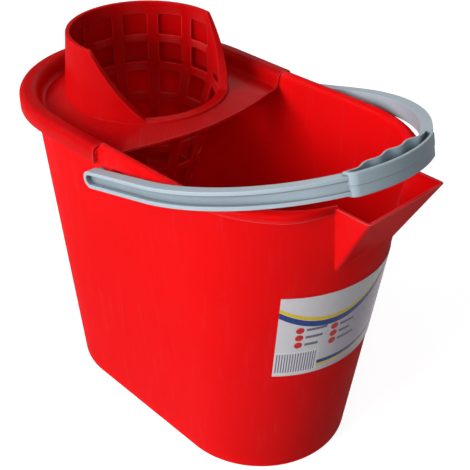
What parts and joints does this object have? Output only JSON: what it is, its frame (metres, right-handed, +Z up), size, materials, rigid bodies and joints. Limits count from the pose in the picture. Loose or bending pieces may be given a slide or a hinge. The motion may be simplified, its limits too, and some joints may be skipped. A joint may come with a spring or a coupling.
{
  "type": "mop bucket",
  "caption": "Oval plastic mop bucket with a pour spout in front, a lift-out latticed wringer hooked over the rear rim and a swinging bail handle.",
  "frame": {"origin": "on the floor, under the middle of the overall bounding box", "axes": "+X towards the pour spout, +Z up, the handle's pivot axis along Y"},
  "size_m": [0.4054, 0.2476, 0.34],
  "materials": {
    "bucket_plastic": "satin red polypropylene",
    "wringer_plastic": "satin red polypropylene",
    "handle_plastic": "satin blue-grey polypropylene",
    "label_film": "printed white film"
  },
  "bodies": {
    "bucket": {"bucket_body": "bucket_plastic", "front_label": "label_film"},
    "wringer": {"wringer": "wringer_plastic"},
    "handle": {"bail_handle": "handle_plastic"}
  },
  "joints": [
    {"name": "handle_swing", "type": "hinge", "parent": "bucket", "child": "handle", "pos_m": [-0.011, 0, 0.2695], "axis": [0, -1, 0], "range_deg": [0, 150]},
    {"name": "wringer_lift", "type": "slide", "parent": "bucket", "child": "wringer", "axis": [0, 0, 1], "range_m": [0, 0.12]}
  ]
}
